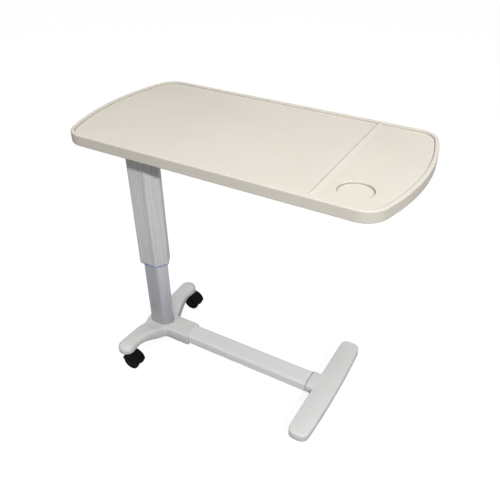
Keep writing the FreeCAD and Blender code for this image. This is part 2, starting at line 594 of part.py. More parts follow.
def build_foot():
    """Welded foot frame across the beam's far end, and the moulded cover over it."""
    frame = new_body("foot_frame")
    bar = box_loop("foot_caster_x - bar_width * 2 / 3", "foot_caster_x + bar_width / 3",
                   "-foot_bar_half", "foot_bar_half")
    pad(frame, "XY_Plane", [bar], "foot_bar_low", "bar_t")
    tongue = box_loop("beam_end_x - tongue_length", "foot_caster_x", "-tongue_width / 2",
                      "tongue_width / 2")
    pad(frame, "XY_Plane", [tongue], "bar_low", "bar_t")
    stems = [("foot_caster_x", side + "foot_caster_y", "foot_stem") for side in ("-", "")]
    bolts = [("beam_end_x - bolt_pitch * %s" % step, "0", "bolt_r") for step in BEAM_BOLTS]
    cover_screws = [("foot_caster_x", side + "foot_cover_screw_y", "cover_screw_r")
                    for side in ("-", "")]
    round_feature(frame, "Pocket", stems + bolts + cover_screws, "0", "leg_high", reverse=True)
    node(frame, "foot_frame")
    shell = foot_solid("foot_cover", "0", "0")
    cavity = foot_solid("foot_cavity", "cover_wall", "1")
    bar_high = "foot_bar_low + bar_t"
    bosses = []
    for x, y, radius in cover_screws:
        post = cylinder("cover_boss_r", "foot_high - cover_wall / 2 - (%s)" % bar_high, x, y, bar_high)
        bosses.append(cut(post, cylinder(radius, "cover_boss_r", x, y, bar_high)))
    node(fuse(cut(shell, cavity), *bosses), "foot_cover")
    screws = [screw("leg_x", side + "leg_cover_screw_y", "bar_end_low", "cover_screw_r",
                    "bar_t + cover_boss_r - 1") for side in ("-", "")]
    screws += [screw("foot_caster_x", side + "foot_cover_screw_y", "foot_bar_low", "cover_screw_r",
                     "bar_t + cover_boss_r - 1") for side in ("-", "")]
    group("cover_screws", screws)


# ---- casters -----------------------------------------------------------------------------------

def build_caster(kind, end, side, x, y, turn, stem_top):
    """One twin-wheel caster. kind picks its sizes, end and side name it, and turn points its trail."""
    name = "%s_caster_%s" % (end, side)
    wheel, trail, web = kind + "_wheel", kind + "_trail", kind + "_web"
    tread, seat, stem = kind + "_tread", kind + "_seat", kind + "_stem"
    fender_r = "(%s + wheel_gap + hood_t)" % wheel
    width = "((%s + wheel_gap + %s) * 2)" % (web, tread)
    hood = new_body(name + "_hood")
    arch = [("%s + %s" % (trail, fender_r), wheel, fender_r),
            (trail, "%s + %s" % (wheel, fender_r), fender_r), ("%s - %s" % (trail, fender_r), wheel)]
    pad(hood, "XZ_Plane", [arch], "0", width, midplane=True)
    round_feature(hood, "Pocket", [(trail, wheel, wheel + " + wheel_gap")], "0", width + " + 2",
                  role="XZ_Plane", midplane=True)
    cheek = box_loop("-" + web, trail, wheel, "%s + %s - hood_t / 2" % (wheel, fender_r))
    pad(hood, "XZ_Plane", [cheek], "0", web + " * 2", midplane=True)
    round_feature(hood, "Pad", [(trail, wheel, wheel + " * 0.7")], "0", web + " * 2", role="XZ_Plane",
                  midplane=True)
    round_feature(hood, "Pad", [("0", "0", web)], wheel, "%s - %s" % (seat, wheel))
    round_feature(hood, "Pad", [("0", "0", web + " * 1.5")], seat + " - hood_t", "hood_t")
    round_feature(hood, "Pocket", [("0", "0", stem + " + run_gap")], wheel + " + 3", seat, reverse=True)
    round_feature(hood, "Pocket", [(trail, wheel, "axle_r")], "0", width, role="XZ_Plane", midplane=True)
    node(hood, name + "_hood", x, y, turn=turn)
    axle = cylinder("axle_r", width, along="y")
    sign = "-" if turn else ""
    node(axle, name + "_axle", "%s + %s%s" % (x, sign, trail), "%s - %s / 2" % (y, width), wheel)
    axle.Placement.Rotation = ALONG["y"]
    starts = (("near", "-%s - wheel_gap - %s" % (web, tread)), ("far", "%s + wheel_gap" % web))
    for place, start in starts:
        spot = ("%s + %s%s" % (x, sign, trail), "%s + %s" % (y, start), wheel)
        core_r = wheel + " - tyre_t"
        core = cut(cylinder(core_r, tread), cylinder("axle_r + run_gap", tread))
        node(core, "%s_wheel_%s" % (name, place), *spot)
        blank = doc.addObject("Part::Fillet", "Rounded")
        blank.Base = cylinder(wheel, tread)
        doc.recompute()
        rims = [i + 1 for i, e in enumerate(blank.Base.Shape.Edges) if e.Closed]
        blank.Edges = [(i, size("Sizes.tyre_t") / 2, size("Sizes.tyre_t") / 2) for i in rims]
        tyre = cut(blank, cylinder(core_r, tread))
        node(tyre, "%s_tyre_%s" % (name, place), *spot)
        for wheel_part in NODES[-2:]:
            wheel_part.Placement.Rotation = ALONG["y"]
    return stem_bar(x, y, wheel, stem, seat, stem_top)


def stem_bar(x, y, wheel, stem, seat, top):
    """A caster's fixed stem, with the collar that seats under the frame's bar."""
    low = wheel + " + 4"
    shaft = cylinder(stem, "%s + bar_t - (%s)" % (top, low), x, y, low)
    collar = cylinder(stem + " * 1.6", "%s - %s - 0.2" % (top, seat), x, y, seat + " + 0.2")
    return fuse(shaft, collar)


def build_casters():
    """Two 50 mm casters under the legs, and two low ones under the foot."""
    for kind, end, x, y, turn, top in (
            ("leg", "leg", "leg_x", "leg_caster_y", 0, "bar_end_low"),
            ("foot", "foot", "foot_caster_x", "foot_caster_y", 180, "foot_bar_low")):
        stems = [build_caster(kind, end, side, x, sign + y, turn, top)
                 for side, sign in (("front", "-"), ("back", ""))]
        group(end + "_caster_stems", stems)


# ---- output ------------------------------------------------------------------------------------

def main():
    build_tabletop()
    build_support_frame()
    build_head()
    build_column()
    build_gas_spring()
    build_lever()
    build_leg()
    build_beam()
    build_foot()
    build_casters()
    doc.recompute()
    faults = [item.Label for item in doc.Objects if {"Invalid", "Error"} & set(item.State)]
    faults += [item.Label for item in NODES if item.Shape.isNull() or not item.Shape.isValid()]
    if faults:
        raise RuntimeError("faulty objects: " + ", ".join(faults))
    os.makedirs("parts", exist_ok=True)
    for item in NODES:
        item.Shape.exportStep("parts/%s.step" % item.Label)


main()
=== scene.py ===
"""The overbed table's visible model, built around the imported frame.

Shapes are worked out in millimetres in the row frame and scaled to metres when a mesh is made.
"""
import json
import math

import bmesh
import bpy
import numpy as np
from mathutils import Matrix, Vector
from mathutils.geometry import delaunay_2d_cdt, tessellate_polygon

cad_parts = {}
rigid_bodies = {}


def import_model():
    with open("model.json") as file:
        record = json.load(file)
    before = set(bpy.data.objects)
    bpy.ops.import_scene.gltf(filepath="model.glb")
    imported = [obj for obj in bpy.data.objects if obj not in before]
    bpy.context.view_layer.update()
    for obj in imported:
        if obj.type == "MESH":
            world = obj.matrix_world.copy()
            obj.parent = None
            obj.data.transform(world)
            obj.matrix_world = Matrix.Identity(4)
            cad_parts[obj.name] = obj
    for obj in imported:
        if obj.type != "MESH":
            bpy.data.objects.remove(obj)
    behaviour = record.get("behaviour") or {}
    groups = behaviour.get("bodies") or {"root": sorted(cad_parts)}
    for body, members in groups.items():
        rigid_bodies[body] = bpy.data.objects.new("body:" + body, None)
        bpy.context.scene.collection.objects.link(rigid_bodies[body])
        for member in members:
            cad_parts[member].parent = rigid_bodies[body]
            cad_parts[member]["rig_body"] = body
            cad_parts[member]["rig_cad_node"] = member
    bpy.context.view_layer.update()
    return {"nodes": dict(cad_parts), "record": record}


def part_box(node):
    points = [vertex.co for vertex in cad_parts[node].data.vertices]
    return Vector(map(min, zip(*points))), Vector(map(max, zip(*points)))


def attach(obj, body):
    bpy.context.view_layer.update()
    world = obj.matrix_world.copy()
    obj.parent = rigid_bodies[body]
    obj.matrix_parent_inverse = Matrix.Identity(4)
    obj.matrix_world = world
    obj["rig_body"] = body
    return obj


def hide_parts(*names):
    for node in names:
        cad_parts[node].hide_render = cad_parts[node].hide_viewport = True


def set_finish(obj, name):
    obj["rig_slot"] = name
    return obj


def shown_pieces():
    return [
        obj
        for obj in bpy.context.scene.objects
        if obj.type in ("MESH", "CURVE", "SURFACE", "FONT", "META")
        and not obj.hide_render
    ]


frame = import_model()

MM = 0.001
WELD = 1e-6          # metres: points closer than this become one
TINY = 1e-3          # millimetres: lengths shorter than this count as none
SHARP_ANGLE = 35.0
LATHE_STEPS = 64


# ---- places taken from the frame ---------------------------------------------------------------

def box_mm(node):
    """Lowest and highest corners of a CAD node in millimetres."""
    low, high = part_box(node)
    return low / MM, high / MM


def middle(node):
    """Centre of a CAD node's box in millimetres."""
    low, high = box_mm(node)
    return (low + high) / 2


COLUMN_X = middle("inner_column").x
SLOT_OF = {part["node"]: part["material_slot"] for part in frame["record"]["subparts"]}


def place(piece, node):
    """Lets a new piece stand for a CAD node: same body, same material slot."""
    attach(piece, frame["nodes"][node]["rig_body"])
    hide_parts(node)
    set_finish(piece, SLOT_OF[node])


# ---- mesh helpers ------------------------------------------------------------------------------

def make_piece(name, points, faces, sharp=SHARP_ANGLE):
    """A smooth-shaded mesh object from points in millimetres, creased where faces turn sharply."""
    mesh = bpy.data.meshes.new(name)
    mesh.from_pydata([Vector(p) * MM for p in points], [], faces)
    piece = bpy.data.objects.new(name, mesh)
    bpy.context.scene.collection.objects.link(piece)
    tidy_mesh(piece, sharp)
    return piece


def tidy_mesh(piece, sharp):
    """Welds doubled points, turns every face outwards and sets the shading."""
    bm = bmesh.new()
    bm.from_mesh(piece.data)
    bmesh.ops.remove_doubles(bm, verts=bm.verts, dist=WELD)
    bmesh.ops.recalc_face_normals(bm, faces=bm.faces)
    bm.to_mesh(piece.data)
    bm.free()
    shade_smooth(piece.data, sharp)


def shade_smooth(mesh, sharp):
    """Smooth shading, except across edges sharper than an angle in degrees."""
    mesh.polygons.foreach_set("use_smooth", [True] * len(mesh.polygons))
    mesh.set_sharp_from_angle(angle=math.radians(sharp))


def loft(rings, cap_start=True, cap_end=True):
    """Points and faces of a skin over closed rings that all have the same number of points."""
    count = len(rings[0])
    points = [p for ring in rings for p in ring]
    faces = []
    for k in range(len(rings) - 1):
        for j in range(count):
            n = (j + 1) % count
            faces.append((k * count + j, k * count + n, (k + 1) * count + n, (k + 1) * count + j))
    if cap_start:
        faces.append(tuple(reversed(range(count))))
    if cap_end:
        faces.append(tuple(range((len(rings) - 1) * count, len(rings) * count)))
    return points, faces


def spread(start, stop, steps):
    """Angles in radians from start to stop, given in degrees, both ends included."""
    return [math.radians(start + (stop - start) * i / steps) for i in range(steps + 1)]


def arc(cx, cy, radius, start, stop, steps):
    """Points on an arc, angles in degrees, both ends included."""
    return [(cx + radius * math.cos(a), cy + radius * math.sin(a)) for a in spread(start, stop, steps)]


def circle(centre, radius, steps):
    """Points round a circle, without the first one again at the end."""
    return arc(*centre, radius, 0, 360, steps)[:-1]


def lathe(profile, centre):
    """Turns a closed (radius, offset) profile round an axis along Y through centre."""
    rings = []
    for radius, offset in profile:
        ring = []
        for i in range(LATHE_STEPS):
            a = 2 * math.pi * i / LATHE_STEPS
            ring.append(Vector(centre) + Vector((radius * math.sin(a), offset, radius * math.cos(a))))
        rings.append(ring)
    rings.append(rings[0])
    return loft(rings, cap_start=False, cap_end=False)


def merge(*parts):
    """Joins several (points, faces) pairs into one."""
    points, faces = [], []
    for part_points, part_faces in parts:
        start = len(points)
        points += list(part_points)
        faces += [tuple(i + start for i in face) for face in part_faces]
    return points, faces


def share(low, high, value):
    """How far value has come from low to high, held between 0 and 1."""
    return min(max((value - low) / (high - low), 0.0), 1.0)


def smoothstep(low, high, value):
    """The same as share, easing in and out."""
    t = share(low, high, value)
    return t * t * (3 - 2 * t)


# ---- materials ---------------------------------------------------------------------------------

NOISE_RANGE = (0.3, 0.7)
STREAKS = (2400.0, 6.0)              # noise features a metre across and along a drawn surface
WIDE_STREAKS = 14                    # how many times wider the broad streaks are
DRAW_LINES = (210.0, 210.0, 2.5)     # noise features a metre along x, y and z
# Where the two collars meet the beam, in millimetres from the object's middle.
COLLAR_SEAMS = ((-209.0, 0.9, 0.55), (180.0, 1.6, 0.3))
CORNER_SHADE_ABOVE = 0.74    # metres: painted shade darkens concave corners above this height only


def set_span(node, low, high, out_low, out_high):
    """Sets the four ends of a Map Range node."""
    for name, number in (("From Min", low), ("From Max", high), ("To Min", out_low), ("To Max", out_high)):
        node.inputs[name].default_value = number


class Shader:
    """A small builder for a Principled material in object coordinates."""

    def __init__(self, name):
        self.material = bpy.data.materials.new(name)
        self.material.use_nodes = True
        self.nodes = self.material.node_tree.nodes
        self.links = self.material.node_tree.links
        self.surface = self.nodes["Principled BSDF"]
        self.coords = self.nodes.new("ShaderNodeTexCoord").outputs["Object"]

    def link(self, output, socket):
        """Connects a node's output to an input."""
        self.links.new(output, socket)

    def set(self, **values):
        """Sets inputs of the surface, with _ for a space in their names."""
        for name, value in values.items():
            self.surface.inputs[name.replace("_", " ")].default_value = value

    def stretched(self, scale):
        """Object coordinates scaled by a different amount along each axis."""
        mapping = self.nodes.new("ShaderNodeMapping")
        mapping.inputs["Scale"].default_value = scale
        self.link(self.coords, mapping.inputs["Vector"])
        return mapping.outputs["Vector"]

    def noise(self, scale, detail=3.0, rough=0.5, vector=None):
        """Soft noise of so many features a metre, in object coordinates unless a vector is given."""
        node = self.nodes.new("ShaderNodeTexNoise")
        node.inputs["Scale"].default_value = scale
        node.inputs["Detail"].default_value = detail
        node.inputs["Roughness"].default_value = rough
        self.link(vector or self.coords, node.inputs["Vector"])
        return node.outputs["Fac"]

    def part(self, axis):
        """One component of the object coordinates."""
        split = self.nodes.new("ShaderNodeSeparateXYZ")
        self.link(self.coords, split.inputs["Vector"])
        return split.outputs[axis]

    def maths(self, operation, *values):
        """A maths node; each value is a number or another node's output."""
        node = self.nodes.new("ShaderNodeMath")
        node.operation = operation
        for socket, value in zip(node.inputs, values):
            if isinstance(value, float):
                socket.default_value = value
            else:
                self.link(value, socket)
        return node.outputs["Value"]

    def near_x(self, place_x, half):
        """1 where the object's x lies within half of place_x, else 0."""
        return self.maths("COMPARE", self.part("X"), place_x, half)

    def above_z(self, height):
        """1 where the object's z lies above a height, else 0."""
        return self.maths("GREATER_THAN", self.part("Z"), height)

    def edges(self):
        """Pointiness: above one half along convex edges, below it in concave corners."""
        return self.nodes.new("ShaderNodeNewGeometry").outputs["Pointiness"]

    def span(self, value, low, high, out_low, out_high):
        """Maps a value from low..high to out_low..out_high, held at both ends."""
        node = self.nodes.new("ShaderNodeMapRange")
        set_span(node, low, high, out_low, out_high)
        self.link(value, node.inputs["Value"])
        return node.outputs["Result"]

    def vary(self, noise, out_low, out_high):
        """Maps the usual range of a noise to out_low..out_high."""
        return self.span(noise, *NOISE_RANGE, out_low, out_high)

    def mix(self, amount, first, second):
        """A colour between two; each is a colour tuple or another node's output."""
        node = self.nodes.new("ShaderNodeMix")
        node.data_type = "RGBA"
        sockets = [s for s in node.inputs if s.type == "RGBA"]
        if isinstance(amount, float):
            node.inputs["Factor"].default_value = amount
        else:
            self.link(amount, node.inputs["Factor"])
        for socket, colour in zip(sockets, (first, second)):
            if isinstance(colour, tuple):
                socket.default_value = (*colour, 1.0)
            else:
                self.link(colour, socket)
        return next(s for s in node.outputs if s.type == "RGBA")

    def bump(self, height, strength, distance, normal=None):
        """Relief from a height, on top of another normal if one is given; distance in metres."""
        node = self.nodes.new("ShaderNodeBump")
        node.inputs["Strength"].default_value = strength
        node.inputs["Distance"].default_value = distance
        self.link(height, node.inputs["Height"])
        if normal is not None:
            self.link(normal, node.inputs["Normal"])
        return node.outputs["Normal"]

    def finish(self, colour, roughness, normal=None):
        """Connects colour, roughness and relief to the surface and returns the material."""
        if isinstance(colour, tuple):
            self.surface.inputs["Base Color"].default_value = (*colour, 1.0)
        else:
            self.link(colour, self.surface.inputs["Base Color"])
        self.link(roughness, self.surface.inputs["Roughness"])
        if normal is not None:
            self.link(normal, self.surface.inputs["Normal"])
        return self.material


def shade(colour, factor):
    """A colour made lighter or darker."""
    return tuple(min(c * factor, 1.0) for c in colour)


def moulded_plastic(name, colour, roughness, grain=900.0, worn_edge=1.12, corner_shade=0.0, seams=()):
    """Injection-moulded plastic: fine grain, faint flow marks, worn edges, painted shade in concave corners,
    and seams.

    A seam is (x from the object's middle, half its width, how much of the colour's brightness is left).
    """
    s = Shader(name)
    flow = s.vary(s.noise(5.0, 4.0), 0.0, 1.0)
    body = s.mix(flow, shade(colour, 0.97), shade(colour, 1.03))
    speckle = s.span(s.noise(1500.0, 2.0), 0.35, 0.75, 0.0, 0.06)
    body = s.mix(speckle, body, shade(colour, 0.8))
    worn = s.span(s.edges(), 0.50, 0.56, 0.0, 0.5)
    body = s.mix(worn, body, shade(colour, worn_edge))
    # Painted shade: concave corners high on the part are darkened towards a third of the colour, for the
    # shadow at the foot of walls.
    if corner_shade:
        corners = s.maths("MULTIPLY", s.span(s.edges(), 0.455, 0.495, corner_shade, 0.0), s.above_z(CORNER_SHADE_ABOVE))
        body = s.mix(corners, body, shade(colour, 0.35))
    for place_x, half, brightness in seams:
        body = s.mix(s.near_x(place_x * MM, half * MM), body, shade(colour, brightness))
    gloss = s.vary(s.noise(14.0, 5.0, 0.6), roughness - 0.05, roughness + 0.07)
    fine = s.bump(s.noise(grain, 2.0), 0.35, 0.00006)
    normal = s.bump(s.noise(22.0, 2.0), 0.08, 0.0006, fine)
    s.set(Specular_IOR_Level=0.35, Subsurface_Weight=0.03, Subsurface_Scale=0.002)
    return s.finish(body, gloss, normal)


def painted_metal(name, colour, roughness=0.38, peel=380.0, depth=0.00005, draw_lines=0.0):
    """Powder coat: orange peel, faint cloudiness and draw lines, thinner and lighter along edges."""
    s = Shader(name)
    cloud = s.vary(s.noise(9.0, 4.0), 0.0, 1.0)
    body = s.mix(cloud, shade(colour, 0.965), shade(colour, 1.03))
    lines = s.noise(1.0, 2.0, 0.6, s.stretched(DRAW_LINES))
    body = s.mix(s.span(lines, 0.38, 0.62, 0.0, draw_lines), body, shade(colour, 0.7))
    worn = s.span(s.edges(), 0.51, 0.58, 0.0, 0.45)
    body = s.mix(worn, body, shade(colour, 1.15))
    gloss = s.vary(s.noise(40.0, 4.0), roughness - 0.06, roughness + 0.08)
    normal = s.bump(s.noise(peel, 3.0), 0.35, depth)
    s.set(Specular_IOR_Level=0.5, Coat_Weight=0.12, Coat_Roughness=0.25)
    return s.finish(body, gloss, normal)


def drawn_metal(name, colour, roughness, metallic, along="z"):
    """Metal drawn or brushed along one axis: fine streaks in colour, gloss and height."""
    s = Shader(name)
    fine, slow = STREAKS
    scale = {"x": (slow, fine, fine), "y": (fine, slow, fine), "z": (fine, fine, slow)}[along]
    streaks = s.noise(1.0, 3.0, 0.6, s.stretched(scale))
    wide = s.noise(1.0, 2.0, 0.5, s.stretched(tuple(v / WIDE_STREAKS for v in scale)))
    body = s.mix(s.vary(streaks, 0.0, 1.0), shade(colour, 0.88), shade(colour, 1.08))
    body = s.mix(s.span(wide, 0.35, 0.65, 0.0, 0.35), body, shade(colour, 0.9))
    gloss = s.vary(streaks, roughness - 0.08, roughness + 0.1)
    normal = s.bump(streaks, 0.15, 0.00003)
    s.set(Metallic=metallic)
    return s.finish(body, gloss, normal)


def cast_metal(name, colour, roughness):
    """Sand- or die-cast metal: coarse skin with small pits."""
    s = Shader(name)
    body = s.mix(s.vary(s.noise(60.0, 5.0), 0.0, 1.0), shade(colour, 0.85), shade(colour, 1.1))
    gloss = s.vary(s.noise(120.0, 4.0), roughness - 0.1, roughness + 0.12)
    normal = s.bump(s.noise(700.0, 4.0), 0.5, 0.00015)
    s.set(Metallic=0.8)
    return s.finish(body, gloss, normal)


def dark_rubber(name, colour, roughness=0.62, grain=600.0):
    """Black nylon or rubber: matt, dusty in patches, scuffed along edges."""
    s = Shader(name)
    dust = s.span(s.noise(70.0, 5.0, 0.6), 0.45, 0.75, 0.0, 0.5)
    body = s.mix(dust, colour, shade(colour, 2.2))
    worn = s.span(s.edges(), 0.51, 0.57, 0.0, 0.6)
    body = s.mix(worn, body, shade(colour, 3.0))
    gloss = s.vary(s.noise(110.0, 4.0), roughness - 0.12, roughness + 0.1)
    normal = s.bump(s.noise(grain, 3.0), 0.4, 0.0001)
    s.set(Specular_IOR_Level=0.05)
    return s.finish(body, gloss, normal)


def make_materials():
    """One material for each of the record's slots."""
    return {
        # The cream top gets painted shade along the feet of its rim and cup walls.
        "cream_plastic": moulded_plastic("cream_plastic", (0.742, 0.70, 0.618), 0.5, worn_edge=1.0,
                                         corner_shade=0.8),
        "cover_plastic": moulded_plastic("cover_plastic", (0.88, 0.883, 0.865), 0.44, 1100.0,
                                         seams=COLLAR_SEAMS),
        "beam_paint": painted_metal("beam_paint", (0.93, 0.93, 0.925)),
        "sleeve_paint": painted_metal("sleeve_paint", (0.88, 0.882, 0.875), 0.36, 700.0, 0.00002, 0.35),
        "anodised_aluminium": drawn_metal("anodised_aluminium", (0.56, 0.565, 0.60), 0.34, 0.6),
        "cast_aluminium": cast_metal("cast_aluminium", (0.55, 0.55, 0.56), 0.5),
        "base_steel": painted_metal("base_steel", (0.30, 0.31, 0.32), 0.5),
        "black_steel": painted_metal("black_steel", (0.03, 0.03, 0.032), 0.45),
        "bright_steel": drawn_metal("bright_steel", (0.60, 0.60, 0.60), 0.3, 1.0, "x"),
        "chrome_rod": drawn_metal("chrome_rod", (0.75, 0.75, 0.77), 0.14, 1.0),
        "guide_plastic": moulded_plastic("guide_plastic", (0.80, 0.80, 0.77), 0.4),
        "blue_seal": moulded_plastic("blue_seal", (0.09, 0.20, 0.60), 0.35),
        "grip_plastic": dark_rubber("grip_plastic", (0.02, 0.02, 0.021)),
        "caster_plastic": dark_rubber("caster_plastic", (0.0045, 0.0045, 0.005), 0.6, 900.0),
        "wheel_plastic": dark_rubber("wheel_plastic", (0.005, 0.005, 0.0055), 0.55, 900.0),
        "tyre_rubber": dark_rubber("tyre_rubber", (0.005, 0.005, 0.005), 0.7, 500.0),
    }


def dress(materials):
    """Gives every piece, new or carried over, its slot's material."""
    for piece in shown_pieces():
        slot_name = piece.get("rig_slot") or SLOT_OF[piece["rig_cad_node"]]
        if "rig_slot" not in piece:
            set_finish(piece, slot_name)
        piece.data.materials.clear()
        piece.data.materials.append(materials[slot_name])


# ---- tabletop ----------------------------------------------------------------------------------

TOP_BOW = 40.0
TOP_CORNER_R = 52.0
LEFT_STEPS, RIGHT_STEPS, TOP_CORNER_STEPS, BOW_STEPS = 12, 3, 14, 90
EDGE_LOW_R = 2.8
EDGE_TOP_R = 2.4
RIM_WALL = [(7.4, 0.0), (8.3, 0.0), (8.5, 0.15), (8.6, 0.4), (8.7, 2.6), (8.8, 3.5), (9.3, 4.0),
            (10.5, 4.0)]                                    # (inset, drop) from the rim's top inwards
RIM_INSET = 13.5
TRAY_DROP = 4.0
FLAT_NORMAL = 0.9999
# The divider, with its x measured from the column's axis and a strip of points across it.
RIDGE_X = 557.5
RIDGE_HALF = 8.0
RIDGE_RISE = 1.8
RIDGE_CREST = -0.5
RIDGE_STRIP = [-13.0, -10.5, *(RIDGE_HALF * i / 8 for i in range(-8, 9)), 10.5, 13.0]
RIDGE_FADE = 16.0
FIELD_REACH = 50.0
# The cup recess, from the column's axis.
CUP_SPOT = (622.0, -126.0)
CUP_LIP_R = 37.0
CUP_WALL = [(0.0, 0.0), (0.3, 0.1), (0.5, 0.4), (0.7, 2.6), (0.9, 4.4), (1.5, 5.0), (3.0, 5.0),
            (5.5, 5.0)]                                     # (inset, drop) from the lip inwards
CUP_STEPS = 72
# The underside, from the column's axis.
BORDER_INSET = 13.0
HOLLOW_START, HOLLOW_PITCH, HOLLOW_COUNT = 64, 112, 5
HOLLOW_FAR = 187.0
HOLLOW_DEPTH = 13
RIB_HALF = 1.5
BOSSES = ((560, -95), (560, 95))
BOSS_R = 8


def top_outline():
    """Outline of the top about its own centre as (x, y, normal_x, normal_y), anticlockwise."""
    low, high = box_mm("tabletop")
    half_x, half_y = (high.x - low.x) / 2, (high.y - low.y) / 2
    bow_r = (half_y ** 2 + TOP_BOW ** 2) / (2 * TOP_BOW)
    bow_x = half_x - bow_r
    corner_y = half_y - TOP_CORNER_R
    corner_x = bow_x + math.sqrt((bow_r - TOP_CORNER_R) ** 2 - corner_y ** 2)
    join = math.degrees(math.atan2(corner_y, corner_x - bow_x))
    ridge = RIDGE_X + COLUMN_X
    left_reach = ridge + RIDGE_STRIP[0] + corner_x
    right_reach = corner_x - ridge - RIDGE_STRIP[-1]
    stops = [-corner_x + left_reach * i / LEFT_STEPS for i in range(LEFT_STEPS)]
    stops += [ridge + offset for offset in RIDGE_STRIP]
    stops += [ridge + RIDGE_STRIP[-1] + right_reach * i / RIGHT_STEPS for i in range(1, RIGHT_STEPS)]
    side = [(x, -half_y, 0.0, -1.0) for x in stops]
    bend = arc_with_normals(corner_x, -corner_y, TOP_CORNER_R, -90, -join, TOP_CORNER_STEPS)
    bow = arc_with_normals(bow_x, 0, bow_r, -join, join, BOW_STEPS)
    upper = [(x, -y, nx, -ny) for x, y, nx, ny in reversed(bend)]
    right = side + bend + bow[1:-1] + upper
    back = [(x, half_y, 0.0, 1.0) for x in reversed(stops)]
    left = [(-x, -y, -nx, -ny) for x, y, nx, ny in bend + bow[1:-1] + upper]
    return right + back[:-1] + left[:-1]


def arc_with_normals(cx, cy, radius, start, stop, steps):
    """An arc's points as (x, y, normal_x, normal_y)."""
    spots = arc(cx, cy, radius, start, stop, steps)
    return [(x, y, math.cos(a), math.sin(a)) for (x, y), a in zip(spots, spread(start, stop, steps))]


def ridge_height(x):
    """Height of the divider above the tray floor at x: a short rise and a long slope to the right."""
    along = (x - RIDGE_X - COLUMN_X) / RIDGE_HALF
    return RIDGE_RISE * smoothstep(-1.0, RIDGE_CREST, along) * smoothstep(1.0, RIDGE_CREST, along)


def tray_profile(thickness):
    """(inset, height) of the rim's section, from the underside round the edge to the tray floor."""
    low = [(BORDER_INSET, 0.0), (EDGE_LOW_R, 0.0)]
    low += [(EDGE_LOW_R * (1 - math.sin(a)), EDGE_LOW_R * (1 - math.cos(a))) for a in spread(15, 90, 5)]
    top = [(EDGE_TOP_R * (1 - math.cos(a)), thickness - EDGE_TOP_R * (1 - math.sin(a)))
           for a in spread(0, 90, 6)]
    wall = [(inset, thickness - drop) for inset, drop in RIM_WALL]
    return low + top + wall + [(RIM_INSET, thickness - TRAY_DROP)]


def build_tabletop():
    """The moulded top: rim, tray floor with its divider and cup recess, and the ribbed underside."""
    low, high = box_mm("tabletop")
    thickness = high.z - low.z
    base = top_outline()
    floor_z = high.z - TRAY_DROP
    rim_inner = RIM_WALL[0][0]
    rings = []
    for inset, height in tray_profile(thickness):
        ring = []
        for x, y, nx, ny in base:
            z = low.z + height
            if inset > rim_inner and height > thickness / 2 and ny > FLAT_NORMAL:
                z = max(z, floor_z + ridge_height(x))
            ring.append((x - nx * inset, y - ny * inset, z))
        rings.append(ring)
    skin = loft(rings, cap_start=False, cap_end=False)
    floor = tray_floor(rings[-1], floor_z)
    under = underside(rings[0], low.z)
    piece = make_piece("tabletop_moulding", *merge(skin, floor, under), sharp=50)
    for face in piece.data.polygons:
        face.use_smooth = abs(face.normal.z) < FLAT_NORMAL
    piece.modifiers.new("normals", "WEIGHTED_NORMAL").keep_sharp = True
    place(piece, "tabletop")


def tray_floor(ring, floor_z):
    """The tray's floor inside a ring: two flat fields, the divider between them and the cup recess."""
    ridge = RIDGE_X + COLUMN_X
    places = sorted({round(p[0], 6) for p in ring})
    strip = [x for x in places if abs(x - ridge) <= RIDGE_STRIP[-1] + TINY]
    front, back = min(p[1] for p in ring), max(p[1] for p in ring)
    fades = [front + RIDGE_FADE * i / 4 for i in range(5)] + [0.0, back]
    points, faces = [], []
    for y in fades:
        fade = smoothstep(front, front + RIDGE_FADE, y)
        points += [(x, y, floor_z + ridge_height(x) * fade) for x in strip]
    width = len(strip)
    for row in range(len(fades) - 1):
        for col in range(width - 1):
            a = row * width + col
            faces.append((a, a + 1, a + width + 1, a + width))
    left_edge = [(strip[0], y, floor_z) for y in fades]
    right_edge = [(strip[-1], y, floor_z) for y in fades]
    left = [p for p in ring if p[0] < strip[0] - TINY]
    right = [p for p in ring if p[0] > strip[-1] + TINY]
    left_field = flat_field(ordered(left, left_edge, strip[0] - FIELD_REACH), [])
    recess = cup_recess(floor_z)
    lip = recess[0][:CUP_STEPS]
    right_field = flat_field(ordered(right, right_edge, strip[-1] + FIELD_REACH), [lip])
    return merge((points, faces), left_field, right_field, recess)


def ordered(ring_part, edge, inner_x):
    """A closed outline from part of a ring and a straight edge, sorted round an inner point."""
    return sorted(ring_part + edge, key=lambda p: math.atan2(p[1], p[0] - inner_x))


def flat_field(outline, holes):
    """A flat face inside an outline, with holes cut out."""
    loops = [[Vector(p) for p in outline]] + [[Vector(p) for p in hole] for hole in holes]
    points = [p for loop in loops for p in loop]
    if not holes:
        return points, [tuple(range(len(points)))]
    return points, [tuple(tri) for tri in tessellate_polygon(loops)]


def cup_recess(floor_z):
    """The round recess's wall and floor, from its lip inwards."""
    centre = (CUP_SPOT[0] + COLUMN_X, CUP_SPOT[1])
    rings = [[(x, y, floor_z - drop) for x, y in circle(centre, CUP_LIP_R - inset, CUP_STEPS)]
             for inset, drop in CUP_WALL]
    return loft(rings, cap_start=False, cap_end=True)


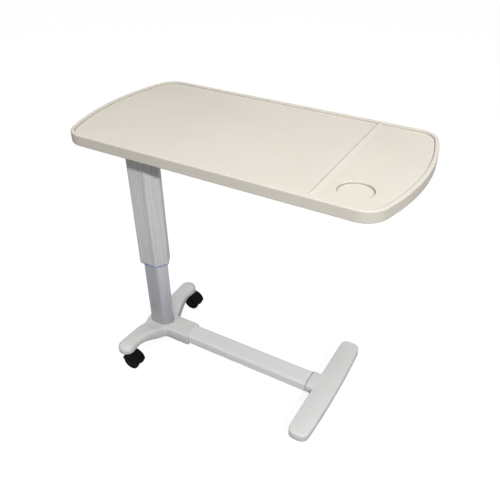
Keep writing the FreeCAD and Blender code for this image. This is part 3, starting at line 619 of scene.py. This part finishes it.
def underside(ring, low_z):
    """The underside: a flat border and centre block, with ribbed hollows open downwards."""
    rib_x = [HOLLOW_START + HOLLOW_PITCH * i + COLUMN_X for i in range(HOLLOW_COUNT + 1)]
    hollow_top = low_z + HOLLOW_DEPTH
    holes = []
    for side in (-1, 1):
        y_low, y_high = sorted((side * RIB_HALF, side * HOLLOW_FAR))
        for rib, next_rib in zip(rib_x, rib_x[1:]):
            start, stop = rib + RIB_HALF, next_rib - RIB_HALF
            holes.append([(start, y_low, low_z), (stop, y_low, low_z),
                          (stop, y_high, low_z), (start, y_high, low_z)])
    parts = [flat_field(ring, holes)]
    for hole in holes:
        ceiling = [(x, y, hollow_top) for x, y, _ in hole]
        parts.append(loft([hole, ceiling], cap_start=False, cap_end=True))
    for x, y in BOSSES:
        post = circle((x + COLUMN_X, y), BOSS_R, 32)
        parts.append(loft([[(*spot, z) for spot in post] for z in (low_z, hollow_top + 1)]))
    return merge(*parts)


# ---- column ------------------------------------------------------------------------------------

# Each section is a hexagon: half its width at the tips, half its width at the flats, half a flat.
SLEEVE = (49.0, 34.0, 28.0)
TUBE = (42.0, 26.0, 22.0)
SLEEVE_WALL = 3.0
TUBE_WALL = 2.5
SLEEVE_CORNER_R = 7.0
TUBE_CORNER_R = 16.0
SECTION_STEPS = 8
SECTION_EDGE = 0.8
FLUTES = (5.8, 1.0, 8.0)             # pitch, depth and plain margin
FLUTE_STEPS = 6
FLUTE_SHAPE = 0.7                    # below 1 the groove widens and its ridges narrow
WIPER_GAP = (0.18, 0.18, 0.15)       # between the tube and the ring, for each size of the section
WIPER_INSET = (0.6, 0.4, 0.3)        # how much smaller the ring is than the sleeve
WIPER_LIP = (1.0, 0.8)               # width and height of the ring's bevel


def hexagon_outline(section, corner_r, flute=None):
    """Outline of a column section about its axis as (x, y, normal_x, normal_y, groove depth)."""
    tip, flat, half = section
    corners = [(half, -flat), (tip, 0.0), (half, flat), (-half, flat), (-tip, 0.0), (-half, -flat)]
    outline = []
    for i, corner in enumerate(corners):
        here, before, after = Vector(corner), Vector(corners[i - 1]), Vector(corners[(i + 1) % 6])
        inward, onward = (here - before).normalized(), (after - here).normalized()
        turn = inward.angle(onward)
        reach = corner_r * math.tan(turn / 2)
        start = math.atan2(-inward.x, inward.y)
        centre = here - inward * reach + Vector((-inward.y, inward.x)) * corner_r
        for step in range(SECTION_STEPS + 1):
            a = start + turn * step / SECTION_STEPS
            nx, ny = math.cos(a), math.sin(a)
            outline.append((centre.x + corner_r * nx, centre.y + corner_r * ny, nx, ny, 0.0))
        if flute:
            outline += fluted_side(here, after, flute)
    return outline


def fluted_side(here, after, flute):
    """Points along one flat of a section, with shallow grooves between two plain margins."""
    pitch, depth, margin = flute
    along = (after - here).normalized()
    out_x, out_y = along.y, -along.x
    count = int(((after - here).length - 2 * margin) // pitch)
    start = ((after - here).length - count * pitch) / 2
    points = []
    for step in range(count * FLUTE_STEPS + 1):
        spot = here + along * (start + pitch * step / FLUTE_STEPS)
        groove = depth * (0.5 - 0.5 * math.cos(2 * math.pi * step / FLUTE_STEPS)) ** FLUTE_SHAPE
        points.append((spot.x, spot.y, out_x, out_y, groove))
    return points


def build_section(node, section, corner_r, wall, flute=None):
    """A hollow column section with softened ends."""
    low, high = box_mm(node)
    edge, soft = SECTION_EDGE, SECTION_EDGE * 0.3
    profile = [(wall - soft, high.z), (edge, high.z), (soft, high.z - soft), (0.0, high.z - edge),
               (0.0, low.z + edge), (soft, low.z + soft), (edge, low.z), (wall - soft, low.z),
               (wall, low.z + soft), (wall, high.z - soft)]
    outline = hexagon_outline(section, corner_r, flute)
    rings = []
    for inset, z in profile:
        grooved = 0.0 if inset > wall / 2 else 1.0
        rings.append([(x + COLUMN_X - nx * (inset + groove * grooved), y - ny * (inset + groove * grooved), z)
                      for x, y, nx, ny, groove in outline])
    rings.append(rings[0])
    skin = loft(rings, cap_start=False, cap_end=False)
    place(make_piece(node + "_section", *skin, sharp=40), node)


def build_wiper():
    """The ring in the sleeve's mouth, bevelled below and open round the inner column."""
    low, high = box_mm("wiper_seal")
    inner = hexagon_outline([size + gap for size, gap in zip(TUBE, WIPER_GAP)], TUBE_CORNER_R + WIPER_GAP[2])
    outer = hexagon_outline([size - inset for size, inset in zip(SLEEVE, WIPER_INSET)], SLEEVE_CORNER_R - 1)
    lip_width, lip_height = WIPER_LIP
    rings = [[(x + COLUMN_X - nx * inset, y - ny * inset, z) for x, y, nx, ny, _ in outer]
             for inset, z in ((0.0, high.z), (0.0, low.z + lip_height), (lip_width, low.z))]
    rings += [[(x + COLUMN_X, y, z) for x, y, *_ in inner] for z in (low.z, high.z)]
    rings.append(rings[0])
    place(make_piece("wiper_ring", *loft(rings, cap_start=False, cap_end=False)), "wiper_seal")


# ---- moulded covers ----------------------------------------------------------------------------

COVER_WALL = 1.8
# A quarter circle as (way in from the side wall, drop below the top), both as shares of the radius.
ROUND_EDGE = [(1 - math.cos(a), 1 - math.sin(a)) for a in spread(0, 90, 6)]
CORNER_SPLIT = 6
COVER_GRID = 5.0
OUTLINE_STEP = 4.0
EDGE_SLACK = 0.15
HOLE_MARGIN = 1.0
LIP_RISE, LIP_INSET = 0.7, 0.5       # bevel along a cover's lower rim


def side_points(start, stop, radius, step):
    """Points from start up to stop, on a line or on an arc that bulges to the right when radius > 0."""
    chord = stop - start
    count = max(2, round(chord.length / step))
    if not radius:
        return [start.lerp(stop, i / count) for i in range(count)]
    outward = Vector((chord.y, -chord.x)).normalized() * (1 if radius > 0 else -1)
    deep = math.sqrt(radius ** 2 - (chord.length / 2) ** 2)
    centre = (start + stop) / 2 - outward * deep
    swing = (start - centre).angle_signed(stop - centre)
    arm = start - centre
    return [centre + Matrix.Rotation(-swing * i / count, 2) @ arm for i in range(count)]


def soft_outline(corners):
    """A closed outline from corners, with x measured from the column's axis.

    A corner is (x, y, arc radius of the side that follows or 0, how far its rounding reaches).
    """
    corners = [(Vector((x + COLUMN_X, y)), radius, reach) for x, y, radius, reach in corners]
    sides = []
    for (start, radius, reach), (stop, _, next_reach) in zip(corners, corners[1:] + corners[:1]):
        side = side_points(start, stop, radius, OUTLINE_STEP)
        kept = [p for p in side if (p - start).length >= reach and (p - stop).length > next_reach]
        sides.append(kept or [side[len(side) // 2]])
    outline = []
    for i, ((corner, _, reach), side) in enumerate(zip(corners, sides)):
        if reach:
            before = sides[i - 1][-1]
            outline += [quadratic(before, corner, side[0], t / CORNER_SPLIT) for t in range(1, CORNER_SPLIT)]
        outline += side
    return outline


def quadratic(a, b, c, t):
    """A point on the curve from a to c that b pulls towards itself."""
    return a.lerp(b, t).lerp(b.lerp(c, t), t)


def outline_normals(outline):
    """Unit normals that point out of an anticlockwise outline."""
    normals = []
    for i in range(len(outline)):
        along = (outline[(i + 1) % len(outline)] - outline[i - 1]).normalized()
        normals.append(Vector((along.y, -along.x)))
    return normals


def distances(points, outline):
    """Distance of each point to a closed outline."""
    p = np.array([tuple(v) for v in points])[:, None, :]
    a = np.array([tuple(v) for v in outline])
    edge = np.roll(a, -1, axis=0) - a
    t = np.clip(((p - a) * edge).sum(-1) / (edge ** 2).sum(-1), 0, 1)
    return np.sqrt(((p - a - t[..., None] * edge) ** 2).sum(-1)).min(1)


def inside(points, outline):
    """Which points lie inside a closed outline."""
    p = np.array([tuple(v) for v in points])[:, None, :]
    a = np.array([tuple(v) for v in outline])
    b = np.roll(a, -1, axis=0)
    spans = (a[:, 1] > p[..., 1]) != (b[:, 1] > p[..., 1])
    with np.errstate(divide="ignore", invalid="ignore"):
        cross = (b[:, 0] - a[:, 0]) * (p[..., 1] - a[:, 1]) / (b[:, 1] - a[:, 1]) + a[:, 0]
    return (spans & (p[..., 0] < cross)).sum(1) % 2 == 1


def edge_rows(outline, radius_of, shares):
    """Points at each share of the edge radius inside an outline, without those that come too near it."""
    normals = outline_normals(outline)
    rows = []
    for share_in in shares:
        moved = [p - n * (radius_of(p) * share_in) for p, n in zip(outline, normals)]
        gaps = distances(moved, outline)
        rows += [m for m, p, gap in zip(moved, outline, gaps) if gap > radius_of(p) * share_in - EDGE_SLACK]
    return rows


def field_grid(outline, radius_of, grid):
    """Points on a staggered grid inside an outline, clear of its rounded edge."""
    low_x, high_x = min(p.x for p in outline), max(p.x for p in outline)
    low_y, high_y = min(p.y for p in outline), max(p.y for p in outline)
    columns, rows = int((high_x - low_x) / grid) + 1, int((high_y - low_y) / grid) + 1
    cells = [Vector((low_x + grid * i, low_y + grid * (j + 0.5 * (i % 2))))
             for i in range(columns) for j in range(rows)]
    return [cell for cell, gap, held in zip(cells, distances(cells, outline), inside(cells, outline))
            if held and gap > radius_of(cell) + grid * 0.4]


def crowned_skin(outline, hole, top_of, radius_of, sink, grid):
    """A top surface inside an outline that follows top_of and rounds off along its edge."""
    shares, drops = zip(*ROUND_EDGE)
    extra = edge_rows(outline, radius_of, shares[1:]) + field_grid(outline, radius_of, grid)
    if hole:
        taken = inside(extra, hole) | (distances(extra, hole) < HOLE_MARGIN)
        extra = [p for p, out in zip(extra, taken) if not out]
    loops = [outline, hole] if hole else [outline]
    edges, start = [], 0
    for loop in loops:
        edges += [(start + i, start + (i + 1) % len(loop)) for i in range(len(loop))]
        start += len(loop)
    verts = [p for loop in loops for p in loop]
    flat, _, faces, *_ = delaunay_2d_cdt(verts + extra, edges, [], 2, 1e-5)
    gaps = distances(flat, outline)
    gaps[gaps < TINY] = 0.0
    points = []
    for p, gap in zip(flat, gaps):
        radius = radius_of(p)
        drop = radius * float(np.interp(gap / radius, shares, drops))
        points.append((p.x, p.y, top_of(p) - drop - sink))
    return points, [tuple(face) for face in faces]


def cover_shell(outline, hole, top_of, low_of, radius_of):
    """A moulded cover open underneath: crowned top, side walls and an even wall thickness."""
    normals = outline_normals(outline)
    inner = [p - n * COVER_WALL for p, n in zip(outline, normals)]

    def inner_radius(p):
        """Edge radius of the cover's inner skin."""
        return radius_of(p) - COVER_WALL * 0.6

    outer_skin = crowned_skin(outline, hole, top_of, radius_of, 0.0, COVER_GRID)
    inner_skin = crowned_skin(inner, hole, top_of, inner_radius, COVER_WALL, COVER_GRID * 1.6)
    walls = [[(p.x, p.y, top_of(p) - radius_of(p)) for p in outline],
             [(p.x, p.y, low_of(p) + LIP_RISE) for p in outline],
             [(p.x - n.x * LIP_INSET, p.y - n.y * LIP_INSET, low_of(p)) for p, n in zip(outline, normals)],
             [(q.x, q.y, low_of(p)) for p, q in zip(outline, inner)],
             [(q.x, q.y, top_of(q) - inner_radius(q) - COVER_WALL) for q in inner]]
    parts = [outer_skin, inner_skin, loft(walls, cap_start=False, cap_end=False)]
    if hole:
        rims = []
        for points, _ in (outer_skin, inner_skin):
            height = {(round(x, 3), round(y, 3)): z for x, y, z in points}
            rims.append([(p.x, p.y, height[(round(p.x, 3), round(p.y, 3))]) for p in hole])
        parts.append(loft(rims, cap_start=False, cap_end=False))
    return merge(*parts)


# The leg cover: corners in order, then its heights and edge radii.
LEG_CORNERS = [(115, 33, 0, 4), (32, 33, -420, 9), (8, 130, 0, 12), (12, 155, 25, 0), (-13, 180, 25, 0),
               (-38, 155, 0, 8), (-35, 40, 73, 12), (-35, -40, 0, 8), (-38, -155, 25, 0), (-13, -180, 25, 0),
               (12, -155, 0, 0), (8, -130, -420, 12), (32, -33, 0, 9), (115, -33, 0, 4)]
HUB_TOP, LEG_RISE, LEG_ARCH = 62, 18, 15
LEG_START_Y, LEG_END_Y = 30, 155
HUB_LOW, LEG_LOW_RISE, LEG_LOW_Y = 28, 28, 128
HUB_EDGE, LEG_EDGE_GAIN, COLLAR_EDGE = 7, 7, 4.5
COLUMN_HOLE_GAP = 0.3


def leg_top(p):
    """Height of the leg cover's top: level over the hub, rising in a shallow arch to the leg ends."""
    t = share(LEG_START_Y, LEG_END_Y, abs(p.y))
    return HUB_TOP + LEG_RISE * t + LEG_ARCH * t * (1 - t) * smoothstep(0.0, 0.3, t)


def leg_low(p):
    """Height of the leg cover's lower rim, which climbs along the legs to clear the casters."""
    return HUB_LOW + LEG_LOW_RISE * smoothstep(LEG_START_Y, LEG_LOW_Y, abs(p.y))


def leg_edge(p):
    """Radius of the leg cover's top edge: larger towards the leg ends, smaller over the collar."""
    over_collar = smoothstep(20, 60, p.x - COLUMN_X)
    along_leg = smoothstep(60, 150, abs(p.y))
    return (HUB_EDGE + LEG_EDGE_GAIN * along_leg) * (1 - over_collar) + COLLAR_EDGE * over_collar


def build_leg_cover():
    """The hub, two arched legs and the beam's collar in one moulding, with a hole for the column."""
    hole = [Vector((x + nx * COLUMN_HOLE_GAP + COLUMN_X, y + ny * COLUMN_HOLE_GAP))
            for x, y, nx, ny, _ in hexagon_outline(TUBE, TUBE_CORNER_R)]
    shell = cover_shell(soft_outline(LEG_CORNERS), hole, leg_top, leg_low, leg_edge)
    place(make_piece("leg_cover_moulding", *shell, sharp=60), "leg_cover")


# The foot cover: corners in order, then its heights and edge radius.
FOOT_CORNERS = [(527, -188, 0, 20), (581, -188, 2948, 22), (581, 188, 0, 20), (527, 188, 0, 18),
                (527, 30, 0, 3), (503, 30, 0, 4), (503, -30, 0, 4), (527, -30, 0, 3)]
FOOT_CREST_X = 556
FOOT_HALF_WIDTH, FOOT_HALF = 30, 188
FOOT_TOP, FOOT_CROWN, FOOT_DROOP = 61.5, 2.2, 0.4
FOOT_COLLAR_TOP, FOOT_COLLAR_CROWN, FOOT_COLLAR_HALF = 62, 2.0, 30
FOOT_LOW = 38.0
FOOT_EDGE = 3.4


def foot_top(p):
    """Height of the foot cover's top: crowned across, lower towards its ends, rounded over the collar."""
    across = (p.x - COLUMN_X - FOOT_CREST_X) / FOOT_HALF_WIDTH
    crown = FOOT_TOP - FOOT_CROWN * across ** 2 - FOOT_DROOP * (p.y / FOOT_HALF) ** 2
    collar = FOOT_COLLAR_TOP - FOOT_COLLAR_CROWN * (p.y / FOOT_COLLAR_HALF) ** 4
    blend = smoothstep(534, 524, p.x - COLUMN_X) if abs(p.y) < FOOT_COLLAR_HALF + 4 else 0.0
    return crown + (collar - crown) * blend


def build_foot_cover():
    """The bowed foot bar and its collar in one moulding."""
    outline = soft_outline(FOOT_CORNERS)
    shell = cover_shell(outline, None, foot_top, lambda p: FOOT_LOW, lambda p: FOOT_EDGE)
    place(make_piece("foot_cover_moulding", *shell, sharp=60), "foot_cover")


# ---- casters and small parts -------------------------------------------------------------------

# A wheel core as (share of its radius, share of half its width, outer side positive), from its bore
# round the inner face, the rim and the outer face, to the hub cap.
CORE_PROFILE = [(0.5, -1.0), (0.62, -0.7), (0.82, -0.7), (1.0, -0.9), (1.0, 0.9), (0.9, 0.82), (0.72, 0.72),
                (0.60, 0.74), (0.46, 1.02), (0.30, 1.13)]
HUB_CAP_OUT, HUB_CAP_IN, HUB_CAP_TIP = 1.18, 1.02, 0.01
WHEEL_BORE = 3.1
# A tyre's tread as (drop below its radius, share of half its width), from the side wall to the middle.
TREAD_SHOULDER = [(1.6, 1.0), (0.6, 0.86), (0.1, 0.5)]
TREAD_SEAT = 0.86


def build_wheels():
    """Each caster's wheels: a dished core with a hub cap, and a tyre with a rounded tread."""
    for end in ("leg", "foot"):
        for side in ("front", "back"):
            for place_name in ("near", "far"):
                stem = "%s_caster_%s" % (end, side)
                core, tyre = "%s_wheel_%s" % (stem, place_name), "%s_tyre_%s" % (stem, place_name)
                build_wheel(core, tyre, -1 if place_name == "near" else 1)


def build_wheel(core, tyre, outward):
    """A wheel's core and tyre; outward is the side of the hub cap, 1 towards +Y."""
    low, high = box_mm(tyre)
    centre = (low + high) / 2
    radius, half = (high.z - low.z) / 2, (high.y - low.y) / 2
    core_low, core_high = box_mm(core)
    core_r = (core_high.z - core_low.z) / 2
    out = outward * half
    disc = [(WHEEL_BORE, -out)]
    disc += [(core_r * way_out, out * across) for way_out, across in CORE_PROFILE]
    disc += [(HUB_CAP_TIP, out * HUB_CAP_OUT), (HUB_CAP_TIP, out * HUB_CAP_IN),
             (WHEEL_BORE, out * HUB_CAP_IN)]
    place(make_piece(core + "_disc", *lathe(disc, centre), sharp=40), core)
    tread = [(core_r, -half * TREAD_SEAT)]
    tread += [(radius - drop, -half * across) for drop, across in TREAD_SHOULDER]
    tread += [(radius, 0.0)]
    tread += [(radius - drop, half * across) for drop, across in reversed(TREAD_SHOULDER)]
    tread += [(core_r, half * TREAD_SEAT)]
    place(make_piece(tyre + "_tread", *lathe(tread, centre), sharp=50), tyre)


SOFT_EDGES = {"beam_tube": 0.6, "leg_frame": 1.0, "foot_frame": 1.0, "column_head": 1.2, "support_frame": 0.6,
              "release_lever": 0.8, "lever_grip": 1.2, "column_insert": 0.8, "lower_guide_bush": 0.5,
              "upper_guide_bush": 0.5, "gas_spring_cylinder": 0.8, "rod_nut": 0.4}
HOOD_EDGE = 0.9
OTHER_EDGE = 0.3


def soften_kept_pieces():
    """Small bevels along the hard edges of the pieces that stay as they were packed."""
    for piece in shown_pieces():
        node = piece.get("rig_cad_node")
        if node is None:
            continue
        width = SOFT_EDGES.get(node, HOOD_EDGE if node.endswith("_hood") else OTHER_EDGE)
        bevel = piece.modifiers.new("soft_edges", "BEVEL")
        bevel.width = width * MM
        bevel.segments = 2
        bevel.limit_method = "ANGLE"
        bevel.angle_limit = math.radians(SHARP_ANGLE)
        bevel.harden_normals = True
        shade_smooth(piece.data, SHARP_ANGLE)


# ---- stage -------------------------------------------------------------------------------------

# The camera, in metres and degrees.
VIEW_AZIMUTH = 29.8
VIEW_ELEVATION = 35.17
VIEW_ROLL = -0.36
VIEW_DISTANCE = 1.498
VIEW_TARGET = Vector((-0.0048, 0.0238, 0.4111))
LENS = 41.76
LENS_SHIFT = (-0.0102, 0.0027)
# The floor: glow and share of its own colour where seen, grey where light bounces off it, and the
# glow in reflections from x -0.4 to -0.05, which goes from 0.45 to full.
FLOOR_HALF = 30.0
FLOOR_GLOW = 0.83
FLOOR_SHOW = 0.4
FLOOR_BOUNCE = 0.22
MIRROR_FADE = (-0.4, -0.05, 0.45, 1.0)
# The surround: strength away from and towards its bright side, and where the camera sees it.
SKY_LOW = 0.13
SKY_HIGH = 0.55
SKY_SEEN = 0.95
BRIGHT_SIDE = Vector((-0.4, 0.15, 0.9))
# The lights: area lights with their size in metres and power in watts.
LIT_POINT = Vector((0.0, 0.0, 0.45))
KEY_FROM, KEY_SIZE, KEY_POWER = (43, 32.9, 2.6), 0.06, 33
FRONT_FROM, FRONT_SIZE, FRONT_POWER = (15, 58, 2.5), 1.0, 9.5
OVERHEAD_SPOT, OVERHEAD_TARGET = Vector((0.45, 0.05, 2.4)), Vector((0.2, 0.0, 0.5))
OVERHEAD_SIZE, OVERHEAD_POWER = 0.9, 9


def look_from(azimuth, elevation, distance, target):
    """A point at a distance from target, angles in degrees; azimuth 0 looks along +Y."""
    a, e = math.radians(azimuth), math.radians(elevation)
    away = Vector((math.sin(a) * math.cos(e), -math.cos(a) * math.cos(e), math.sin(e)))
    return target + away * distance


def aim(thing, target, roll=0.0):
    """Turns a camera or light towards a point, rolled by so many degrees."""
    turn = (target - thing.location).to_track_quat("-Z", "Y").to_matrix().to_4x4()
    turn = turn @ Matrix.Rotation(math.radians(roll), 4, "Z")
    thing.rotation_euler = turn.to_euler()


def add_camera():
    """The camera, set up so that the object fills the frame as in its reference view."""
    camera = bpy.data.objects.new("camera", bpy.data.cameras.new("camera"))
    bpy.context.scene.collection.objects.link(camera)
    camera.data.lens = LENS
    camera.data.shift_x, camera.data.shift_y = LENS_SHIFT
    camera.location = look_from(VIEW_AZIMUTH, VIEW_ELEVATION, VIEW_DISTANCE, VIEW_TARGET)
    aim(camera, VIEW_TARGET, VIEW_ROLL)
    bpy.context.scene.camera = camera


def add_area(name, location, target, size, power):
    """A square area light that shines at a point."""
    light = bpy.data.objects.new(name, bpy.data.lights.new(name, "AREA"))
    bpy.context.scene.collection.objects.link(light)
    light.data.size = size
    light.data.energy = power
    light.location = location
    aim(light, target)


def add_floor():
    """A pale floor that glows where seen, less in reflections on the left, and bounces little light."""
    corners = [(x * FLOOR_HALF, y * FLOOR_HALF, 0.0) for x, y in ((-1, -1), (1, -1), (1, 1), (-1, 1))]
    mesh = bpy.data.meshes.new("floor")
    mesh.from_pydata(corners, [], [(0, 1, 2, 3)])
    floor = bpy.data.objects.new("floor", mesh)
    bpy.context.scene.collection.objects.link(floor)
    s = Shader("floor")
    cloud = s.vary(s.noise(0.6, 3.0), 0.0, 1.0)
    path = s.nodes.new("ShaderNodeLightPath")
    fade = s.span(s.part("X"), *MIRROR_FADE)
    mirrored = s.maths("MULTIPLY", path.outputs["Is Glossy Ray"], fade)
    seen = s.maths("MAXIMUM", path.outputs["Is Camera Ray"], mirrored)
    pale = s.mix(cloud, (0.93, 0.93, 0.93), (0.95, 0.95, 0.95))
    s.surface.inputs["Emission Color"].default_value = (1.0, 1.0, 1.0, 1.0)
    s.link(s.span(seen, 0.0, 1.0, 0.0, FLOOR_GLOW), s.surface.inputs["Emission Strength"])
    colour = s.mix(seen, (FLOOR_BOUNCE,) * 3, s.mix(1.0 - FLOOR_SHOW, pale, (0.0, 0.0, 0.0)))
    s.set(Specular_IOR_Level=0.1)
    mesh.materials.append(s.finish(colour, s.span(s.noise(3.0), 0.0, 1.0, 0.8, 0.9)))


def add_surround():
    """A pale surround that is brightest overhead, and even where the camera sees it."""
    world = bpy.data.worlds.new("surround")
    world.use_nodes = True
    nodes, links = world.node_tree.nodes, world.node_tree.links
    towards = nodes.new("ShaderNodeVectorMath")
    towards.operation = "DOT_PRODUCT"
    towards.inputs[1].default_value = BRIGHT_SIDE.normalized()
    links.new(nodes.new("ShaderNodeTexCoord").outputs["Generated"], towards.inputs[0])
    ramp = nodes.new("ShaderNodeMapRange")
    set_span(ramp, 0.0, 1.0, SKY_LOW, SKY_HIGH)
    links.new(towards.outputs["Value"], ramp.inputs["Value"])
    seen = nodes.new("ShaderNodeMix")
    links.new(nodes.new("ShaderNodeLightPath").outputs["Is Camera Ray"], seen.inputs["Factor"])
    links.new(ramp.outputs["Result"], seen.inputs["A"])
    seen.inputs["B"].default_value = SKY_SEEN
    links.new(seen.outputs["Result"], nodes["Background"].inputs["Strength"])
    nodes["Background"].inputs["Color"].default_value = (1.0, 1.0, 1.0, 1.0)
    bpy.context.scene.world = world


def add_stage():
    """Floor, surround, a small key light, a broad light from the front and one overhead to the right."""
    add_floor()
    add_surround()
    add_area("key", look_from(*KEY_FROM, LIT_POINT), LIT_POINT, KEY_SIZE, KEY_POWER)
    add_area("overhead", OVERHEAD_SPOT, OVERHEAD_TARGET, OVERHEAD_SIZE, OVERHEAD_POWER)
    add_area("front", look_from(*FRONT_FROM, LIT_POINT), LIT_POINT, FRONT_SIZE, FRONT_POWER)
    bpy.context.scene.view_settings.view_transform = "Standard"


# ---- everything --------------------------------------------------------------------------------

def main():
    """Builds the object on its frame, then the materials, the camera and the stage."""
    build_tabletop()
    build_section("outer_sleeve", SLEEVE, SLEEVE_CORNER_R, SLEEVE_WALL, FLUTES)
    build_section("inner_column", TUBE, TUBE_CORNER_R, TUBE_WALL)
    build_wiper()
    build_leg_cover()
    build_foot_cover()
    build_wheels()
    soften_kept_pieces()
    dress(make_materials())
    add_camera()
    add_stage()


main()
